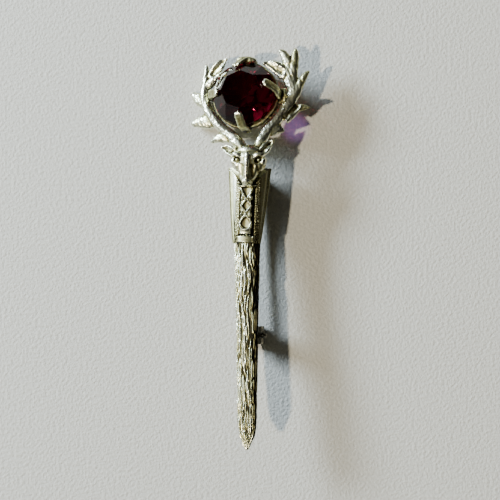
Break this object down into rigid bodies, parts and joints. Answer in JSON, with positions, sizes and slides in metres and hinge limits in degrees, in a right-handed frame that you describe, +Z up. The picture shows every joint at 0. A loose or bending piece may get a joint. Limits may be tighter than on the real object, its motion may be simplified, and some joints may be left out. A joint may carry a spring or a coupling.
{
  "type": "kilt pin",
  "caption": "Kilt pin with a stag's head, antlers round a faceted purple stone, a bark-textured tapering shaft and a safety catch behind.",
  "frame": {"origin": "centre of the bounding box's bottom, on the surface that the pin lies on", "axes": "+Y along the shaft towards the stag's head, +Z up, +X to the right with the head away"},
  "size_m": [0.026, 0.0866, 0.011],
  "materials": {
    "aged_silver_plate": "aged silver plate on a white-metal casting, dark in its recesses",
    "purple_glass": "faceted and polished dark purple glass",
    "steel_wire": "drawn spring steel wire",
    "dark_nickel": "dulled nickel-plated fitting"
  },
  "bodies": {
    "root": {"stag_casting": "aged_silver_plate", "stone": "purple_glass", "pin_stem": "steel_wire", "safety_catch": "dark_nickel"},
    "collar": {"catch_collar": "dark_nickel"}
  },
  "joints": [
    {"name": "catch_turn", "type": "hinge", "parent": "root", "child": "collar", "pos_m": [0.00095, -0.0191, 0.00231], "axis": [-0.0014, -0.9995, 0.0322], "range_deg": [0, 105]}
  ]
}
